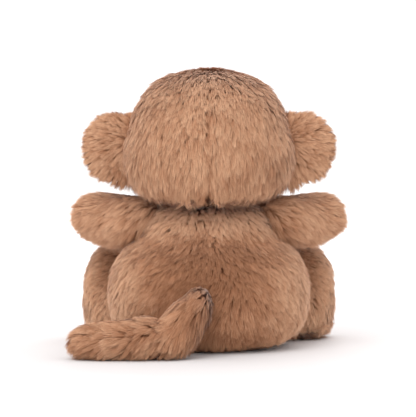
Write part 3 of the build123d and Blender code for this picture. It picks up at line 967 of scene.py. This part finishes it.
def tube(name, runs, radius, material, body, replaces):
    """Threads as one mesh of thin round tubes, each following its own run of points."""
    sides = 6
    places, faces = [], []
    for run in runs:
        run = np.array(run)
        first = len(places)
        for i, point in enumerate(run):
            ahead = unit(run[min(i + 1, len(run) - 1)] - run[max(i - 1, 0)])
            across = unit(np.cross(ahead, (0.3, 1, 0.2)))
            over = np.cross(ahead, across)
            for k in range(sides):
                turn = 2 * math.pi * k / sides
                places.append(point + radius * (across * math.cos(turn) + over * math.sin(turn)))
        for i in range(len(run) - 1):
            for k in range(sides):
                a, b = first + i * sides + k, first + i * sides + (k + 1) % sides
                faces.append((a, b, b + sides, a + sides))
        faces.append(tuple(range(first, first + sides))[::-1])
        faces.append(tuple(range(first + (len(run) - 1) * sides, first + len(run) * sides)))
    plain_piece(name, places, faces, material, body, replaces)


def make_stitching(muzzle):
    """Satin stitch nose and a back stitched mouth, laid on the muzzle."""
    surface = BVHTree.FromPolygons(muzzle.places.tolist(), muzzle.faces.tolist())

    def on_muzzle(x, z, proud):
        place, normal, _, _ = surface.ray_cast(Vector((x, -0.3, z)), Vector((0, 1, 0)))
        return np.array(place) + np.array(normal) * proud

    centre_z = (nose_low[2] + nose_high[2]) / 2
    half = (nose_high - nose_low) / 2
    threads = []
    count = 26
    for i in range(count):
        share = (i + 0.5) / count * 2 - 1
        reach = half[2] * math.sqrt(1 - share ** 2) * (1.05 - 0.25 * abs(share))
        crown = 2.1 * MM * math.sqrt(1 - share ** 2)
        run = []
        for k in range(7):
            t = k / 6 * 2 - 1
            proud = 0.9 * MM + crown * math.sqrt(1 - 0.9 * t * t)
            run.append(on_muzzle(share * half[0], centre_z + t * reach, proud))
        threads.append(run)
    tube("nose_satin_stitch", threads, 0.38 * MM, DARK_THREAD, "head", ("nose_patch",))

    mouth_half = (mouth_high[0] - mouth_low[0]) / 2
    drop = mouth_high[2] - mouth_low[2]
    stitches = []
    count = 9
    for i in range(count):
        run = []
        for k in range(4):
            share = ((i + 0.06 + 0.88 * k / 3) / count) * 2 - 1
            z = mouth_low[2] + 0.8 * MM + drop * share ** 2
            run.append(on_muzzle(share * mouth_half, z, 1.6 * MM + 0.3 * MM * math.sin(math.pi * k / 3)))
        stitches.append(run)
    top = nose_low[2] + 0.5 * MM
    for i in range(2):
        run = []
        for k in range(4):
            z = top + (mouth_low[2] + 1 * MM - top) * (i + k / 3) / 2
            run.append(on_muzzle(0, z, 1.5 * MM))
        stitches.append(run)
    tube("mouth_back_stitch", stitches, 0.55 * MM, DARK_THREAD, "head", ("mouth_thread",))


# ---------------------------------------------------------------- care label
def make_label():
    """A blank satin label, folded double, that lies on the ground and curls up at its free end."""
    low, high = node_box("care_label")
    start = np.array([low[0] + 0.008, low[1] + 0.006, 0])
    end = np.array([high[0] - 0.006, high[1] - 0.006, 0])
    run = unit(end - start)
    across = np.array([-run[1], run[0], 0]) * 7 * MM
    rows = 24
    thickness = 0.25 * MM
    outline = []
    for leaf in (0, 1):
        for i in range(rows + 1):
            t = i / rows if leaf == 0 else 1 - i / rows
            lift = 0.6 * MM + leaf * 0.8 * MM + 0.6 * MM * math.sin(math.pi * t) + 2.2 * MM * (1 - t) ** 3
            outline.append(start + (end - start) * t + np.array([0, 0, lift]))
    places, faces = [], []
    for point in outline:
        for edge in (-1, 1):
            for layer in (-0.5, 0.5):
                places.append(point + across * edge + np.array([0, 0, thickness * layer]))
    for i in range(len(outline) - 1):
        a, b = 4 * i, 4 * i + 4
        for j, k in ((0, 1), (1, 3), (3, 2), (2, 0)):
            faces.append((a + j, a + k, b + k, b + j))
    faces.append((0, 2, 3, 1))
    last = 4 * (len(outline) - 1)
    faces.append((last, last + 1, last + 3, last + 2))
    plain_piece("care_label_satin", places, faces, LABEL_SATIN, "torso", ("care_label",))


# ---------------------------------------------------------------- stage
def make_stage():
    mesh = bpy.data.meshes.new("studio_floor")
    half = 6.0
    corners = [(-half, -half, 0), (half, -half, 0), (half, half, 0), (-half, half, 0)]
    mesh.from_pydata(corners, [], [(0, 1, 2, 3)])
    material, tree, shader = new_material("studio_white_painted_shadow", 0.7, specular=0.1)
    place = tree.nodes.new("ShaderNodeTexCoord")
    gradient = tree.nodes.new("ShaderNodeTexGradient")
    gradient.gradient_type = "SPHERICAL"
    tree.links.new(place.outputs["Object"], gradient.inputs["Vector"])
    # Painted shadow: the floor is painted darker within about 0.2 m of the toy, fading to near white by 0.7 m.
    stops = [(0.3, (0.97, 0.97, 0.97)), (0.8, (0.735, 0.708, 0.708))]
    painted_floor_shadow = colour_ramp(tree, stops, gradient.outputs["Fac"])
    tree.links.new(painted_floor_shadow, shader.inputs["Base Color"])
    mesh.materials.append(material)
    linked("studio_floor", mesh)

    world = bpy.data.worlds.new("studio")
    world.use_nodes = True
    world.node_tree.nodes["Background"].inputs["Color"].default_value = (1, 1, 1, 1)
    world.node_tree.nodes["Background"].inputs["Strength"].default_value = 1.22
    bpy.context.scene.world = world

    def area_light(name, place, target, size, power):
        light = bpy.data.lights.new(name, "AREA")
        light.size = size
        light.energy = power
        lamp = bpy.data.objects.new(name, light)
        lamp.location = place
        lamp.rotation_euler = (Vector(target) - Vector(place)).to_track_quat("-Z", "Y").to_euler()
        bpy.context.scene.collection.objects.link(lamp)

    area_light("key", (0.5, 0.9, 1.3), (0, 0, 0.1), 0.9, 9)
    area_light("front_fill", (-0.4, -1.1, 1.1), (0, 0, 0.12), 1.0, 7)


def make_camera():
    """From behind and a little above, with a long lens."""
    distance = 2.6
    elevation = math.radians(4)
    frame_height = 0.3503
    target = Vector((0.0008, 0, 0.1163))
    data = bpy.data.cameras.new("camera")
    data.lens = data.sensor_width * distance / frame_height
    camera = bpy.data.objects.new("camera", data)
    camera.location = target + distance * Vector((0, math.cos(elevation), math.sin(elevation)))
    camera.rotation_euler = (target - camera.location).to_track_quat("-Z", "Y").to_euler()
    bpy.context.scene.collection.objects.link(camera)
    bpy.context.scene.camera = camera
    bpy.context.scene.view_settings.view_transform = "Standard"


# ---------------------------------------------------------------- the whole toy
make_camera()
make_stage()
finish_cad_nodes()
torso_skin = make_torso()
make_closing_stitches(torso_skin)
make_neck()
head_skin, muzzle_skin = make_head()
make_stitching(muzzle_skin)
deep_in_torso = inside_by(torso_skin, 3 * MM)
deep_in_head = inside_by(head_skin, 2 * MM)
for side_name, side_sign in SIDES.items():
    make_ear(side_name, side_sign, deep_in_head)
    make_arm(side_name, side_sign, deep_in_torso)
    make_leg(side_name, side_sign, deep_in_torso)
make_tail()
make_label()
